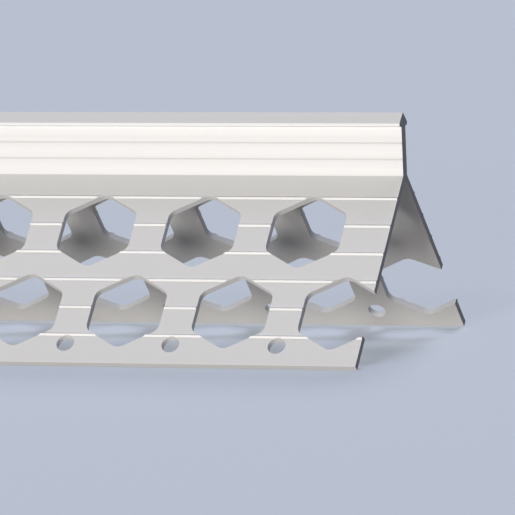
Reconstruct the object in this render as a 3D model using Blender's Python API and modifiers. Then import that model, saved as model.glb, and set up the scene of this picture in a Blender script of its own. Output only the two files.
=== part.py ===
"""A perforated corner bead for drywall and render: one stock length of extruded white PVC.

The bead is a constant section with holes punched through it. An arrow-headed nose stands on
a thin blade and gives the finished edge of the wall corner. Two flat wings run down from the
foot of the blade at a little under a right angle to each other and wrap the corner. Each
wing has two staggered rows of hexagonal keying holes and a row of nail holes near its edge.

X runs along the length, with the end nearest the first holes at +X. Z is up, and Y crosses
the corner. The bead stands on the edges of its wings with the nose up, on the plane Z = 0,
and the origin is under its middle. Sizes are in metres.
"""

import math

import bmesh
import bpy
from mathutils import Matrix

LENGTH = 2.4384  # a standard 8 ft length

WING_WIDTH = 0.0645  # along the outer face, from the blade to the free edge
WING_THICKNESS = 0.0019
WING_SPREAD = math.radians(85)  # the angle between the wings, which grip a square corner

BLADE_HEIGHT = 0.01385  # from the foot of the blade to the underside of the nose
BLADE_THICKNESS = 0.0031
BLADE_RIB_HEIGHT = 0.00018  # fine bond ribs along both faces of the blade
BLADE_RIB_WIDTH = 0.0008
BLADE_RIB_SPACING = 0.00465
BLADE_RIBS = 2  # on each face

NOSE_WIDTH = 0.0061  # across the shoulders of the arrow head
NOSE_ROOF = 0.00283  # height of its two sloping sides
NOSE_CHEEK = 0.00088  # height of its upright sides
NOSE_UNDERCUT = 0.00028  # how far the underside rises from the blade to the cheek
NOSE_TIP_RADIUS = 0.0003
NOSE_TIP_STEPS = 3

HOLE_PITCH = 0.03175  # along the length, the same in every row
FIRST_HOLE = 0.00888  # from the +X end to the middle of the first hole of the lower row
HEX_ACROSS_FLATS = 0.0219
HEX_SIDES = 6
UPPER_ROW = 0.01935  # from the blade, down the outer face of the wing
LOWER_ROW = 0.04675
NAIL_HOLE_DIAMETER = 0.0052
NAIL_HOLE_SIDES = 5
NAIL_ROW = 0.0580

CUTTER_OVERSHOOT = 0.002  # how far a punch stands out past each face of the wing
MERGE = 0.000001

HALF_SPREAD = WING_SPREAD / 2
WING_DROP = WING_WIDTH * math.cos(HALF_SPREAD) + WING_THICKNESS * math.sin(HALF_SPREAD)


def clear_scene():
    for thing in list(bpy.data.objects):
        bpy.data.objects.remove(thing, do_unlink=True)


def new_collection(name):
    collection = bpy.data.collections.new(name)
    bpy.context.scene.collection.children.link(collection)
    return collection


def pvc_material():
    """Rigid white PVC, matt from the die."""
    material = bpy.data.materials.new("white_pvc")
    material.use_nodes = True
    shader = material.node_tree.nodes["Principled BSDF"]
    shader.inputs["Base Color"].default_value = (0.80, 0.79, 0.78, 1)
    shader.inputs["Roughness"].default_value = 0.45
    shader.inputs["Metallic"].default_value = 0.0
    return material


def along_wing(side, distance, depth=0.0):
    """The point (y, z) of a wing's section, distance down its outer face and depth under it."""
    y = BLADE_THICKNESS / 2 + distance * math.sin(HALF_SPREAD) - depth * math.cos(HALF_SPREAD)
    z = WING_DROP - distance * math.cos(HALF_SPREAD) - depth * math.sin(HALF_SPREAD)
    return side * y, z


def inner_crease():
    """The point (y, z) where the inner faces of the wings meet."""
    reach = (BLADE_THICKNESS / 2 - WING_THICKNESS * math.cos(HALF_SPREAD)) / math.sin(HALF_SPREAD)
    return 0.0, along_wing(1, -reach, WING_THICKNESS)[1]


def tip_arc(top):
    """Points over the rounded tip, from the +Y side to the -Y side."""
    slope = math.atan2(NOSE_ROOF, NOSE_WIDTH / 2)
    middle = top - NOSE_TIP_RADIUS
    turn = math.pi / 2 - slope
    angles = [turn - 2 * turn * step / NOSE_TIP_STEPS for step in range(NOSE_TIP_STEPS + 1)]
    return [
        (NOSE_TIP_RADIUS * math.sin(angle), middle + NOSE_TIP_RADIUS * math.cos(angle))
        for angle in angles
    ]


def half_section():
    """The outline (y, z) of the +Y side, from the wing's inner edge up to the nose's shoulder."""
    face = BLADE_THICKNESS / 2
    outline = [
        along_wing(1, WING_WIDTH, WING_THICKNESS),
        along_wing(1, WING_WIDTH),
        along_wing(1, 0),
    ]
    for rib in range(BLADE_RIBS):
        middle = WING_DROP + BLADE_RIB_SPACING * (rib + 1)
        outline += [
            (face, middle - BLADE_RIB_WIDTH / 2),
            (face + BLADE_RIB_HEIGHT, middle),
            (face, middle + BLADE_RIB_WIDTH / 2),
        ]
    underside = WING_DROP + BLADE_HEIGHT
    cheek = underside + NOSE_UNDERCUT
    outline += [
        (face, underside),
        (NOSE_WIDTH / 2, cheek),
        (NOSE_WIDTH / 2, cheek + NOSE_CHEEK),
    ]
    return outline


def section_outline():
    """The whole closed outline, counter-clockwise when seen from the +X end."""
    half = half_section()
    top = half[-1][1] + NOSE_ROOF
    mirrored = [(-y, z) for y, z in reversed(half)]
    return half + tip_arc(top) + mirrored + [inner_crease()]


def extrude_section(name, outline, length):
    """A solid of the outline drawn along X: a filled flat curve, made a mesh and welded."""
    curve = bpy.data.curves.new(name, "CURVE")
    curve.dimensions = "2D"
    curve.fill_mode = "BOTH"
    curve.extrude = length / 2
    spline = curve.splines.new("POLY")
    spline.points.add(len(outline) - 1)
    for point, (y, z) in zip(spline.points, outline):
        point.co = (y, z, 0, 1)
    spline.use_cyclic_u = True
    drawn = bpy.data.objects.new(name + "_curve", curve)
    drawn.matrix_world = Matrix(((0, 0, 1, 0), (1, 0, 0, 0), (0, 1, 0, 0), (0, 0, 0, 1)))
    bpy.context.scene.collection.objects.link(drawn)
    depsgraph = bpy.context.evaluated_depsgraph_get()
    mesh = bpy.data.meshes.new_from_object(drawn.evaluated_get(depsgraph))
    mesh.name = name
    work = bmesh.new()
    work.from_mesh(mesh)
    bmesh.ops.remove_doubles(work, verts=work.verts, dist=MERGE)
    bmesh.ops.recalc_face_normals(work, faces=work.faces)
    work.to_mesh(mesh)
    work.free()
    solid = bpy.data.objects.new(name, mesh)
    solid.matrix_world = drawn.matrix_world
    bpy.data.objects.remove(drawn, do_unlink=True)
    return solid


def add_punch(work, radius, sides, along, down):
    """One prism through the wing, its middle at the distances along the bead and down the wing."""
    bmesh.ops.create_cone(
        work,
        cap_ends=True,
        segments=sides,
        radius1=radius,
        radius2=radius,
        depth=WING_THICKNESS + 2 * CUTTER_OVERSHOOT,
        matrix=Matrix.Translation((along, -down, 0)),
    )


def punch_tool(name, side):
    """The punches of one pitch, repeated along one wing.

    The tool is drawn flat in the wing's middle plane, with its own Y pointing up the wing, so
    a hexagon stands on one corner.
    """
    work = bmesh.new()
    hex_radius = HEX_ACROSS_FLATS / 2 / math.cos(math.pi / HEX_SIDES)
    add_punch(work, hex_radius, HEX_SIDES, 0, LOWER_ROW)
    add_punch(work, hex_radius, HEX_SIDES, -HOLE_PITCH / 2, UPPER_ROW)
    add_punch(work, NAIL_HOLE_DIAMETER / 2, NAIL_HOLE_SIDES, -HOLE_PITCH / 2, NAIL_ROW)
    mesh = bpy.data.meshes.new(name)
    work.to_mesh(mesh)
    work.free()
    tool = bpy.data.objects.new(name, mesh)
    foot_y, foot_z = along_wing(side, 0, WING_THICKNESS / 2)
    place = Matrix.Translation((LENGTH / 2 - FIRST_HOLE, foot_y, foot_z))
    tool.matrix_world = place @ Matrix.Rotation(math.pi / 2 + side * HALF_SPREAD, 4, "X")
    repeat = tool.modifiers.new("along_length", "ARRAY")
    repeat.count = math.ceil(LENGTH / HOLE_PITCH) + 1
    repeat.use_relative_offset = False
    repeat.use_constant_offset = True
    repeat.constant_offset_displace = (-HOLE_PITCH, 0, 0)
    tool.hide_render = True
    tool.display_type = "WIRE"
    return tool


def main():
    clear_scene()
    parts = new_collection("drywall_corner_bead")
    cutters = new_collection("punch_tools")

    bead = extrude_section("corner_bead", section_outline(), LENGTH)
    bead.data.materials.clear()
    bead.data.materials.append(pvc_material())
    parts.objects.link(bead)

    for side, name in ((1, "far_wing_punches"), (-1, "near_wing_punches")):
        tool = punch_tool(name, side)
        cutters.objects.link(tool)
        punching = bead.modifiers.new(name, "BOOLEAN")
        punching.operation = "DIFFERENCE"
        punching.solver = "EXACT"
        punching.object = tool


main()
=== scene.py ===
import math

import bpy
import numpy as np
from mathutils import Matrix, Vector


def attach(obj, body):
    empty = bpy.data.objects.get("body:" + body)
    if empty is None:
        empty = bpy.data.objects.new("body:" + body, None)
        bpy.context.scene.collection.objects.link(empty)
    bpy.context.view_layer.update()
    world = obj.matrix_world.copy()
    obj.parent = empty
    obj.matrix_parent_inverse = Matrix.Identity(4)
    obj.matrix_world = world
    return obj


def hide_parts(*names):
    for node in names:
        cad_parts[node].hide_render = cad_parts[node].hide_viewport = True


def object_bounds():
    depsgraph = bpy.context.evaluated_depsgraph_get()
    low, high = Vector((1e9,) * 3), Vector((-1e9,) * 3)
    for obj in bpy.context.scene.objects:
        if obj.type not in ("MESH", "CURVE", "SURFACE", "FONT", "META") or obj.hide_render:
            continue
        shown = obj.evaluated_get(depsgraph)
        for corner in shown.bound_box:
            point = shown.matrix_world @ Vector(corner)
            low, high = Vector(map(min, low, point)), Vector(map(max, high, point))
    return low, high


mm = 0.001

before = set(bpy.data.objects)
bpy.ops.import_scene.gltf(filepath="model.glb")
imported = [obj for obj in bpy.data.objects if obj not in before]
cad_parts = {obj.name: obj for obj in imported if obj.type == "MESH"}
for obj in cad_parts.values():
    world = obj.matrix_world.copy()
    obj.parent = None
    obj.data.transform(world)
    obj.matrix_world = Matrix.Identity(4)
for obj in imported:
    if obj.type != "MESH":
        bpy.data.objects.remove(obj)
cadLow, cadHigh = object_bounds()
scene = bpy.context.scene
print("frame loaded:", sorted(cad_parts))


# The bead

bead = {
    "wingWidth": 64.5 * mm,  # down the outer face, from the blade to the free edge
    "wall": 1.9 * mm,
    "spread": math.radians(85),  # between the wings
    "bladeThickness": 3.1 * mm,
    "bladeHeight": 13.85 * mm,  # from the foot of the blade to the underside of the nose
    "noseWidth": 6.1 * mm,
    "noseRoof": 2.83 * mm,  # height of the nose's sloping sides
    "noseCheek": 0.88 * mm,  # height of its upright sides
    "noseUndercut": 0.28 * mm,
    "tipRadius": 0.3 * mm,
    "edgeRadius": 0.1 * mm,  # outer corners of the section, as the die leaves them
    "rootRadius": 0.25 * mm,  # inner corners of the section
    "arcSteps": 3,  # in each of these corners
    "sharpSteps": 2,  # in a rib's crest and in the corner under the nose
    "tipSteps": 5,
    "creaseSteps": 4,  # where the wings' inner faces meet
    "firstRib": 7.8 * mm,  # its crest, down the wing from the blade
    "ribSpacing": 9.45 * mm,
    "ribs": 6,
    "ribHeight": 0.42 * mm,
    "ribRise": 0.62 * mm,  # from the wing to the crest, on the side towards the blade
    "ribFall": 0.48 * mm,  # from the crest to the wing, on the side towards the free edge
    "ribCrest": 0.084 * mm,  # radius
    "bladeRibSpacing": 4.65 * mm,
    "bladeRibs": 2,
    "bladeRibWidth": 0.6 * mm,
    "bladeRibHeight": 0.18 * mm,
    "bladeRibCrest": 0.045 * mm,
}

half = bead["spread"] / 2
drop = bead["wingWidth"] * math.cos(half) + bead["wall"] * math.sin(half)  # floor to foot of blade


# A point of a wing's section: y = side (blade / 2 + s sin a + n cos a), z = drop - s cos a + n sin a,
# s down the outer face, n out of it, a half the spread
def wingPoint(side, s, n):
    y = side * (bead["bladeThickness"] / 2 + s * math.sin(half) + n * math.cos(half))
    z = drop - s * math.cos(half) + n * math.sin(half)
    return y, z


# Each corner becomes an arc whose ends lie r / tan(h) from it, h being half its angle. A point of the
# arc is centre + (sin((1 - k) f) start + sin(k f) end) / sin f, with f = pi - 2 h and k from 0 to 1
def roundCorners(corners, radii, steps):
    corners, radii, steps = np.array(corners), np.array(radii), np.array(steps)
    back = np.roll(corners, 1, axis=0) - corners
    ahead = np.roll(corners, -1, axis=0) - corners
    back /= np.linalg.norm(back, axis=1, keepdims=True)
    ahead /= np.linalg.norm(ahead, axis=1, keepdims=True)
    halfAngle = np.arccos(np.clip((back * ahead).sum(axis=1), -1, 1)) / 2
    bisector = (back + ahead) / np.linalg.norm(back + ahead, axis=1, keepdims=True)
    centre = corners + bisector * (radii / np.sin(halfAngle))[:, None]
    reach = (radii / np.tan(halfAngle))[:, None]
    start = corners + back * reach - centre
    end = corners + ahead * reach - centre
    turn = (math.pi - 2 * halfAngle)[:, None]
    index = np.arange(steps.max() + 1)[None, :]
    share = np.minimum(index / np.maximum(steps, 1)[:, None], 1)
    near = (np.sin((1 - share) * turn) / np.sin(turn))[:, :, None] * start[:, None, :]
    far = (np.sin(share * turn) / np.sin(turn))[:, :, None] * end[:, None, :]
    points = centre[:, None, :] + near + far
    return points[index <= steps[:, None]]


# Corners of the +Y half as (y, z, radius, arc steps), from the wing's inner edge up to the shoulder
def halfSection():
    edge = (bead["edgeRadius"], bead["arcSteps"])
    root = (bead["rootRadius"], bead["arcSteps"])
    crest = (bead["ribCrest"], bead["sharpSteps"])
    bladeCrest = (bead["bladeRibCrest"], bead["sharpSteps"])
    plain = (0, 0)
    face = bead["bladeThickness"] / 2
    rows = [
        (*wingPoint(1, bead["wingWidth"], -bead["wall"]), *edge),
        (*wingPoint(1, bead["wingWidth"], 0), *edge),
    ]
    for rib in reversed(range(bead["ribs"])):
        s = bead["firstRib"] + rib * bead["ribSpacing"]
        rows += [
            (*wingPoint(1, s + bead["ribFall"], 0), *plain),
            (*wingPoint(1, s, bead["ribHeight"]), *crest),
            (*wingPoint(1, s - bead["ribRise"], 0), *plain),
        ]
    rows.append((*wingPoint(1, 0, 0), *root))
    for rib in range(bead["bladeRibs"]):
        z = drop + (rib + 1) * bead["bladeRibSpacing"]
        rows += [
            (face, z - bead["bladeRibWidth"] / 2, *plain),
            (face + bead["bladeRibHeight"], z, *bladeCrest),
            (face, z + bead["bladeRibWidth"] / 2, *plain),
        ]
    underside = drop + bead["bladeHeight"]
    cheek = underside + bead["noseUndercut"]
    rows += [
        (face, underside, bead["edgeRadius"], bead["sharpSteps"]),
        (bead["noseWidth"] / 2, cheek, *edge),
        (bead["noseWidth"] / 2, cheek + bead["noseCheek"], *edge),
    ]
    return rows


# The whole section, counter-clockwise seen from +X. The wings' inner faces meet in the middle,
# where blade / 2 - s sin a - wall cos a = 0, s being the distance up the wing's line from the blade
def beadSection():
    rows = halfSection()
    tip = (0, rows[-1][1] + bead["noseRoof"], bead["tipRadius"], bead["tipSteps"])
    up = (bead["bladeThickness"] / 2 - bead["wall"] * math.cos(half)) / math.sin(half)
    crease = (0, wingPoint(1, -up, -bead["wall"])[1], bead["rootRadius"], bead["creaseSteps"])
    mirrored = [(-y, z, radius, steps) for y, z, radius, steps in reversed(rows)]
    rows = np.array(rows + [tip] + mirrored + [crease])
    return roundCorners(rows[:, :2], rows[:, 2], rows[:, 3].astype(int))


# Quads of a closed grid of rings, ring by ring, as indices from first
def ringFaces(rings, points, first=0):
    ring = np.arange(rings - 1)[:, None]
    here = np.arange(points)[None, :]
    ahead = (here + 1) % points
    corners = [ring * points + here, ring * points + ahead]
    corners += [corners[1] + points, corners[0] + points]
    return (np.stack(corners, axis=-1) + first).reshape(-1, 4)


# The section carried along X: point (x, y, z) = (station, section)
def beadBody(low, high):
    section = beadSection()
    count = len(section)
    stations = np.array([low, high])
    vertices = np.empty((len(stations), count, 3))
    vertices[:, :, 0] = stations[:, None]
    vertices[:, :, 1:] = section
    faces = ringFaces(len(stations), count).tolist()
    faces.append(list(range(count))[::-1])
    faces.append(list(range(count, 2 * count)))
    mesh = bpy.data.meshes.new("corner_bead_pvc")
    mesh.from_pydata(vertices.reshape(-1, 3).tolist(), [], faces)
    mesh.validate()
    return bpy.data.objects.new("corner_bead_pvc", mesh)


# The holes

holes = {
    "pitch": 31.75 * mm,
    "first": 8.88 * mm,  # from the +X end to the first hole of the lower row
    "hexFlats": 21.9 * mm,
    "hexRadius": 3.2 * mm,  # of its corners
    "hexSteps": 4,  # in each corner's arc
    "upperRow": 19.35 * mm,  # down the wing, from the blade
    "lowerRow": 46.75 * mm,
    "nailDiameter": 5.2 * mm,
    "nailRow": 58.0 * mm,
    "nailPoints": 20,
    "entryEdge": 0.09 * mm,  # the wall's rounded edge where the punch went in
    "exitEdge": 0.05 * mm,
}


# A hexagon on its corner, offset outwards by e: its radius grows by e / cos 30 and its arcs by e
def hexOutline(e):
    angles = math.pi / 2 + np.arange(6) * math.pi / 3
    radius = (holes["hexFlats"] / 2 + e) / math.cos(math.pi / 6)
    corners = radius * np.stack([np.cos(angles), np.sin(angles)], axis=-1)
    return roundCorners(corners, [holes["hexRadius"] + e] * 6, [holes["hexSteps"]] * 6)


# A circle of the nail hole's radius plus e
def nailOutline(e):
    angles = np.arange(holes["nailPoints"]) * 2 * math.pi / holes["nailPoints"]
    return (holes["nailDiameter"] / 2 + e) * np.stack([np.cos(angles), np.sin(angles)], axis=-1)


# The punches of one wing. A ring at depth n is the outline offset by e(n), which widens over the
# entry edge, in two steps that round it, and over the exit edge. A point (u, v) of it goes to
# x + u along the bead and s - v down the wing
def wingPunches(name, side, low, high):
    wide, flare, wall = holes["entryEdge"], holes["exitEdge"], bead["wall"]
    clear = 2 * bead["ribHeight"]  # past both faces of the wing
    depths = np.array([clear, 0, -wide / 3, -wide, flare - wall, -wall, -wall - clear])
    offsets = np.array([wide, wide, wide / 3, 0, 0, flare, flare])
    count = math.ceil((high - low) / holes["pitch"]) + 1
    steps = np.arange(count) * holes["pitch"]
    shift = holes["pitch"] / 2
    rows = [
        (hexOutline, holes["lowerRow"], 0),
        (hexOutline, holes["upperRow"], shift),
        (nailOutline, holes["nailRow"], shift),
    ]
    vertices, faces, total = [], [], 0
    for outline, s, offset in rows:
        rings = np.stack([outline(e) for e in offsets])  # level, point, (u, v)
        points = rings.shape[1]
        place = high - holes["first"] - offset - steps
        x = place[:, None, None] + rings[None, :, :, 0]
        y, z = wingPoint(side, s - rings[None, :, :, 1], depths[None, :, None])
        grid = np.stack([x, np.broadcast_to(y, x.shape), np.broadcast_to(z, x.shape)], axis=-1)
        starts = total + np.arange(count) * len(offsets) * points
        quads = ringFaces(len(offsets), points)[None] + starts[:, None, None]
        top = np.arange(points)[None] + starts[:, None]
        bottom = top + (len(offsets) - 1) * points
        turn = 1 if side > 0 else -1  # the other wing is a mirror image, so its faces turn round
        vertices.append(grid.reshape(-1, 3))
        faces += quads[:, :, ::turn].reshape(-1, 4).tolist()
        faces += top[:, ::-turn].tolist() + bottom[:, ::turn].tolist()
        total += grid.size // 3
    mesh = bpy.data.meshes.new(name)
    mesh.from_pydata(np.concatenate(vertices).tolist(), [], faces)
    mesh.validate()
    return bpy.data.objects.new(name, mesh)


# Cuts the punches out of the body and keeps the result as plain mesh
def punchOut(body, punches):
    for tool in punches:
        cut = body.modifiers.new(tool.name, "BOOLEAN")
        cut.operation = "DIFFERENCE"
        cut.solver = "MANIFOLD"
        cut.material_mode = "TRANSFER"
        cut.object = tool
    depsgraph = bpy.context.evaluated_depsgraph_get()
    mesh = bpy.data.meshes.new_from_object(body.evaluated_get(depsgraph))
    body.modifiers.clear()
    body.data = mesh
    for tool in punches:
        bpy.data.objects.remove(tool, do_unlink=True)


# Materials

# One channel of an sRGB hex colour in linear light: c / 12.92, or ((c + 0.055) / 1.055) ^ 2.4
def toLinear(hexColour):
    channels = [int(hexColour[i : i + 2], 16) / 255 for i in (1, 3, 5)]
    curve = [c / 12.92 if c <= 0.04045 else ((c + 0.055) / 1.055) ** 2.4 for c in channels]
    return (*curve, 1)


# Adds a node, sets its inputs by name or index, and links what is given as a socket
def addNode(tree, kind, settings=None, **inputs):
    node = tree.nodes.new(kind)
    for name, value in (settings or {}).items():
        setattr(node, name, value)
    for name, value in inputs.items():
        key = int(name[1:]) if name[0] == "i" and name[1:].isdigit() else name.replace("_", " ")
        if isinstance(value, bpy.types.NodeSocket):
            tree.links.new(value, node.inputs[key])
        else:
            node.inputs[key].default_value = value
    return node


# A material with an empty node tree
def startMaterial(name):
    material = bpy.data.materials.new(name)
    material.use_nodes = True
    material.node_tree.nodes.clear()
    return material, material.node_tree


pvc = {
    "colour": "#f0f0ef",
    "ior": 1.53,
    "gloss": 0.7,  # of the extruded faces, which the die polishes
    "satin": 0.40,  # their roughness
    "satinSpread": 0.06,
    "noiseLow": 0.3,  # most of a noise pattern lies between these two
    "noiseHigh": 0.7,
    "dieLine": 1.2 * mm,  # spacing of the die's faint lines, drawn coarser than the real 0.2 mm to show
    "dieLineLength": 700 * mm,
    "dieLineDepth": 0.010 * mm,
    "dieLineDetail": 3,
    "dieLineRough": 0.6,
    "punchedGloss": 0.5,
    "sheared": 0.34,  # roughness where the punch sheared the wall
    "torn": 0.62,  # and where it tore it
    "tornShare": 0.35,  # share of the wall, on the side where the punch came out
    "tearBlur": 0.1 * mm,  # to each side of the line between them
    "tornGrain": 0.35 * mm,
    "tornDepth": 0.03 * mm,
    "tornDetail": 4,
    "tornRough": 0.7,
    "sawn": 0.75,
    "sawnGloss": 0.1,  # the rough cut hides most of the sheen
    "sawMark": 0.9 * mm,  # feed of the saw for one tooth, drawn coarser than the real 0.1 mm to show
    "sawDepth": 0.02 * mm,
    "sawLean": math.radians(24),
    "sawWobble": 1.6,
    "sawDetail": 3,
    "sawDetailScale": 0.4,
}


# The shader that every finish of the PVC ends in
def pvcShader(material, tree, roughness, bump, gloss):
    shader = addNode(
        tree,
        "ShaderNodeBsdfPrincipled",
        Base_Color=toLinear(pvc["colour"]),
        IOR=pvc["ior"],
        Specular_IOR_Level=gloss,
        Roughness=roughness,
        Normal=bump,
    )
    addNode(tree, "ShaderNodeOutputMaterial", Surface=shader.outputs[0])
    return material


# Rigid PVC, white with titanium dioxide, extruded: an even satin with faint lines along the length
def extrudedPvc():
    material, tree = startMaterial("rigid_pvc_extruded")
    coords = addNode(tree, "ShaderNodeTexCoord").outputs["Object"]
    scale = (1 / pvc["dieLineLength"], 1 / pvc["dieLine"], 1 / pvc["dieLine"])
    drawn = addNode(tree, "ShaderNodeMapping", Vector=coords, Scale=scale).outputs[0]
    lines = addNode(
        tree,
        "ShaderNodeTexNoise",
        Vector=drawn,
        Scale=1,
        Detail=pvc["dieLineDetail"],
        Roughness=pvc["dieLineRough"],
    ).outputs[0]
    satin = addNode(
        tree,
        "ShaderNodeMapRange",
        Value=lines,
        i1=pvc["noiseLow"],
        i2=pvc["noiseHigh"],
        i3=pvc["satin"] - pvc["satinSpread"],
        i4=pvc["satin"] + pvc["satinSpread"],
    ).outputs[0]
    bump = addNode(tree, "ShaderNodeBump", Height=lines, Distance=pvc["dieLineDepth"], Strength=1)
    return pvcShader(material, tree, satin, bump.outputs[0], pvc["gloss"])


# The same PVC, punched: sheared smooth where the punch went in, torn matt and grainy where it came out.
# A point lies |y| cos a + z sin a - (drop sin a + blade / 2 cos a) out from the outer face, a half the
# spread, so inside the wall this is negative
def punchedPvc():
    material, tree = startMaterial("rigid_pvc_punched")
    coords = addNode(tree, "ShaderNodeTexCoord").outputs["Object"]
    mirrored = addNode(tree, "ShaderNodeVectorMath", {"operation": "ABSOLUTE"}, i0=coords).outputs[0]
    outwards = (0, math.cos(half), math.sin(half))
    dot = addNode(
        tree, "ShaderNodeVectorMath", {"operation": "DOT_PRODUCT"}, i0=mirrored, i1=outwards
    ).outputs["Value"]
    face = drop * math.sin(half) + bead["bladeThickness"] / 2 * math.cos(half)
    tear = face - bead["wall"] * (1 - pvc["tornShare"])
    blur = pvc["tearBlur"]
    torn = addNode(
        tree, "ShaderNodeMapRange", Value=dot, i1=tear + blur, i2=tear - blur, i3=0, i4=1
    ).outputs[0]
    grain = addNode(
        tree,
        "ShaderNodeTexNoise",
        Vector=coords,
        Scale=1 / pvc["tornGrain"],
        Detail=pvc["tornDetail"],
        Roughness=pvc["tornRough"],
    ).outputs[0]
    height = addNode(tree, "ShaderNodeMath", {"operation": "MULTIPLY"}, i0=grain, i1=torn).outputs[0]
    bump = addNode(tree, "ShaderNodeBump", Height=height, Distance=pvc["tornDepth"], Strength=1)
    roughness = addNode(
        tree, "ShaderNodeMapRange", Value=torn, i1=0, i2=1, i3=pvc["sheared"], i4=pvc["torn"]
    ).outputs[0]
    return pvcShader(material, tree, roughness, bump.outputs[0], pvc["punchedGloss"])


# The same PVC, sawn to length: matt, with the marks of the saw's teeth leaning across the section.
# The bands of a wave texture lie pi / 10 apart at scale 1
def sawnPvc():
    material, tree = startMaterial("rigid_pvc_sawn")
    coords = addNode(tree, "ShaderNodeTexCoord").outputs["Object"]
    leaning = addNode(
        tree, "ShaderNodeMapping", Vector=coords, Rotation=(pvc["sawLean"], 0, 0)
    ).outputs[0]
    marks = addNode(
        tree,
        "ShaderNodeTexWave",
        {"bands_direction": "Y"},
        Vector=leaning,
        Scale=math.pi / 10 / pvc["sawMark"],
        Distortion=pvc["sawWobble"],
        Detail=pvc["sawDetail"],
        Detail_Scale=pvc["sawDetailScale"],
    ).outputs["Fac"]
    bump = addNode(tree, "ShaderNodeBump", Height=marks, Distance=pvc["sawDepth"], Strength=1)
    return pvcShader(material, tree, pvc["sawn"], bump.outputs[0], pvc["sawnGloss"])


# Build

finish = {
    "endFacing": 0.999,  # least part of an end face's normal that lies along X
    "endReach": 0.01 * mm,  # how far from the end its centre may be
    "sharpAngle": math.radians(32),  # between two faces, from which their edge stays crisp
    "flatWeight": 100,  # large faces decide the normals, so that the flats stay flat beside a rounding
}


# Gives the two ends of the body, whose faces look along X, the material in the slot
def finishEnds(mesh, slot, low, high):
    count = len(mesh.polygons)
    normals = np.empty(count * 3, np.float32)
    mesh.polygons.foreach_get("normal", normals)
    centres = np.empty(count * 3, np.float32)
    mesh.polygons.foreach_get("center", centres)
    materials = np.empty(count, np.int32)
    mesh.polygons.foreach_get("material_index", materials)
    x = centres[::3]
    facing = np.abs(normals[::3]) > finish["endFacing"]
    near = np.minimum(high - x, x - low) < finish["endReach"]
    materials[facing & near] = slot
    mesh.polygons.foreach_set("material_index", materials)


low, high = cadLow.x, cadHigh.x
body = beadBody(low, high)
scene.collection.objects.link(body)
body.data.materials.append(extrudedPvc())
wallMaterial = punchedPvc()
punches = []
for side, name in ((-1, "near_punches"), (1, "far_punches")):
    tool = wingPunches(name, side, low, high)
    tool.data.materials.append(wallMaterial)
    scene.collection.objects.link(tool)
    punches.append(tool)
print("section and punches made")
punchOut(body, punches)
body.data.materials.append(sawnPvc())
finishEnds(body.data, len(body.data.materials) - 1, low, high)
body.data.shade_smooth()
body.data.set_sharp_from_angle(angle=finish["sharpAngle"])
weighted = body.modifiers.new("flat_faces_first", "WEIGHTED_NORMAL")
weighted.keep_sharp = True
weighted.weight = finish["flatWeight"]
body.data.calc_loop_triangles()
print("holes punched:", len(body.data.loop_triangles), "triangles")
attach(body, "root")
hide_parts("corner_bead")


# Studio

studio = {
    "floor": "#aeb4be",
    "floorBounce": "#242424",  # what the floor throws back at the bead
    "floorGlow": 0.64,
    "floorSize": 160.0,
    "world": "#dde7ff",
    "worldStrength": 0.01,
    "backdrop": "#c3c8d0",
    # Distant lamps, so that 2.4 m of bead is lit evenly. Azimuth from the front towards +X and
    # elevation in degrees, the angle that the lamp fills, its light in W/m2, and its colour. The
    # ones below the horizon shine up through the floor
    "lamps": {
        "front": (0, 9, 10, 0.56, "#fffcf6"),
        "front_low": (-8, -5, 11, 0.55, "#fffcf6"),
        "front_lowest": (-8, -13, 11, 0.26, "#fff9f1"),
        "front_left": (-24, -5, 11, 0.60, "#fffefc"),
        "front_right": (24, -5, 11, 0.20, "#ffe4bf"),
        "left": (-50, -10, 24, 0.17, "#fff0f0"),
        "right": (50, 6, 30, 0.32, "#c8d7ff"),
        "upper": (0, 30, 10, 0.31, "#fffaf4"),
        "top": (180, 72, 20, 0.92, "#e2e7ff"),
        "back": (-170, 40, 20, 1.00, "#ffffff"),
    },
}


# 1 for the rays that show the floor and backdrop: those from the camera, and mirrored or through glass
def seenRays(tree):
    path = addNode(tree, "ShaderNodeLightPath")
    seen = path.outputs["Is Camera Ray"]
    for ray in ("Is Glossy Ray", "Is Transmission Ray"):
        seen = addNode(
            tree, "ShaderNodeMath", {"operation": "MAXIMUM"}, i0=seen, i1=path.outputs[ray]
        ).outputs[0]
    return seen


# A matt floor, pale and lifted by a glow where it is seen. What it throws back at the bead is dark,
# so that the lamps decide the bead's tones
def floorMaterial():
    material, tree = startMaterial("studio_floor")
    colour = toLinear(studio["floor"])
    matt = addNode(tree, "ShaderNodeBsdfDiffuse", Color=colour)
    glow = addNode(tree, "ShaderNodeEmission", Color=colour, Strength=studio["floorGlow"])
    shown = addNode(tree, "ShaderNodeAddShader", i0=matt.outputs[0], i1=glow.outputs[0])
    bounce = addNode(tree, "ShaderNodeBsdfDiffuse", Color=toLinear(studio["floorBounce"]))
    mixed = addNode(
        tree, "ShaderNodeMixShader", i0=seenRays(tree), i1=bounce.outputs[0], i2=shown.outputs[0]
    )
    addNode(tree, "ShaderNodeOutputMaterial", Surface=mixed.outputs[0])
    return material


# A flat square at z = 0, so wide that it ends near the horizon
def makeFloor():
    size = studio["floorSize"] / 2
    corners = [(-size, -size, 0), (size, -size, 0), (size, size, 0), (-size, size, 0)]
    mesh = bpy.data.meshes.new("studio_floor")
    mesh.from_pydata(corners, [], [(0, 1, 2, 3)])
    floor = bpy.data.objects.new("studio_floor", mesh)
    floor.data.materials.append(floorMaterial())
    scene.collection.objects.link(floor)
    floor.visible_shadow = False  # it doesn't shade the bead from the low lamps


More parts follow.
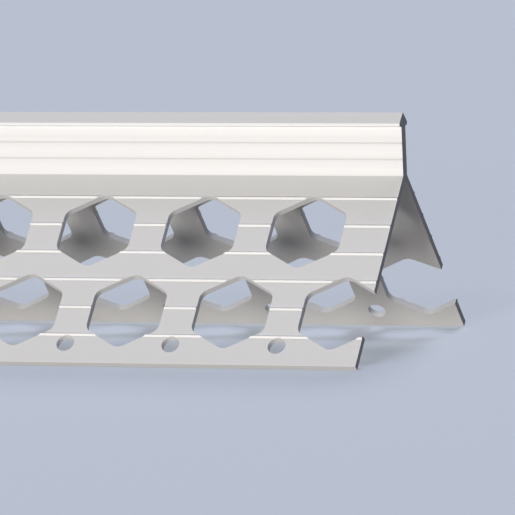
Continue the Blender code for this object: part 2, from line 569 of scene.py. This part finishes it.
# A dim even sky, which shows as a pale backdrop
def makeWorld():
    world = bpy.data.worlds.new("studio_world")
    scene.world = world
    world.use_nodes = True
    tree = world.node_tree
    tree.nodes.clear()
    sky = addNode(
        tree, "ShaderNodeBackground", Color=toLinear(studio["world"]), Strength=studio["worldStrength"]
    )
    backdrop = addNode(tree, "ShaderNodeBackground", Color=toLinear(studio["backdrop"]), Strength=1)
    mixed = addNode(
        tree, "ShaderNodeMixShader", i0=seenRays(tree), i1=sky.outputs[0], i2=backdrop.outputs[0]
    )
    addNode(tree, "ShaderNodeOutputWorld", Surface=mixed.outputs[0])


# A lamp at azimuth a and elevation e shines from the direction (sin a cos e, -cos a cos e, sin e)
def makeLights():
    for name, (azimuth, elevation, angle, strength, colour) in studio["lamps"].items():
        a, e = math.radians(azimuth), math.radians(elevation)
        lamp = bpy.data.lights.new(name, "SUN")
        lamp.angle = math.radians(angle)
        lamp.energy = strength
        lamp.color = toLinear(colour)[:3]
        made = bpy.data.objects.new(name, lamp)
        made.rotation_mode = "QUATERNION"
        towards = Vector((math.sin(a) * math.cos(e), -math.cos(a) * math.cos(e), math.sin(e)))
        made.rotation_quaternion = towards.to_track_quat("Z", "Y")
        scene.collection.objects.link(made)


camera = {
    "azimuth": math.radians(21.523),
    "elevation": math.radians(7.171),
    "roll": math.radians(2.288),
    "target": (38.414 * mm, -17.798 * mm, 27.658 * mm),  # in from the +X end, across, above the floor
    "distance": 2155.3 * mm,
    "lens": 537.6,
    "sensor": 36.0,
    "clip": (0.05, 200),
}


# The camera looks at its target from azimuth a and elevation e:
# it stands at target + distance (sin a cos e, -cos a cos e, sin e), turned by the roll about that line
def makeCamera():
    a, e = camera["azimuth"], camera["elevation"]
    back = Vector((math.sin(a) * math.cos(e), -math.cos(a) * math.cos(e), math.sin(e)))
    inwards, across, above = camera["target"]
    target = Vector((high - inwards, across, above))
    data = bpy.data.cameras.new("photo_camera")
    data.lens = camera["lens"]
    data.sensor_width = camera["sensor"]
    data.clip_start, data.clip_end = camera["clip"]
    made = bpy.data.objects.new("photo_camera", data)
    turned = back.to_track_quat("Z", "Y").to_matrix() @ Matrix.Rotation(-camera["roll"], 3, "Z")
    made.matrix_world = Matrix.Translation(target + back * camera["distance"]) @ turned.to_4x4()
    scene.collection.objects.link(made)
    scene.camera = made


makeFloor()
makeWorld()
makeLights()
makeCamera()
scene.view_settings.view_transform = "Standard"
print("studio ready")
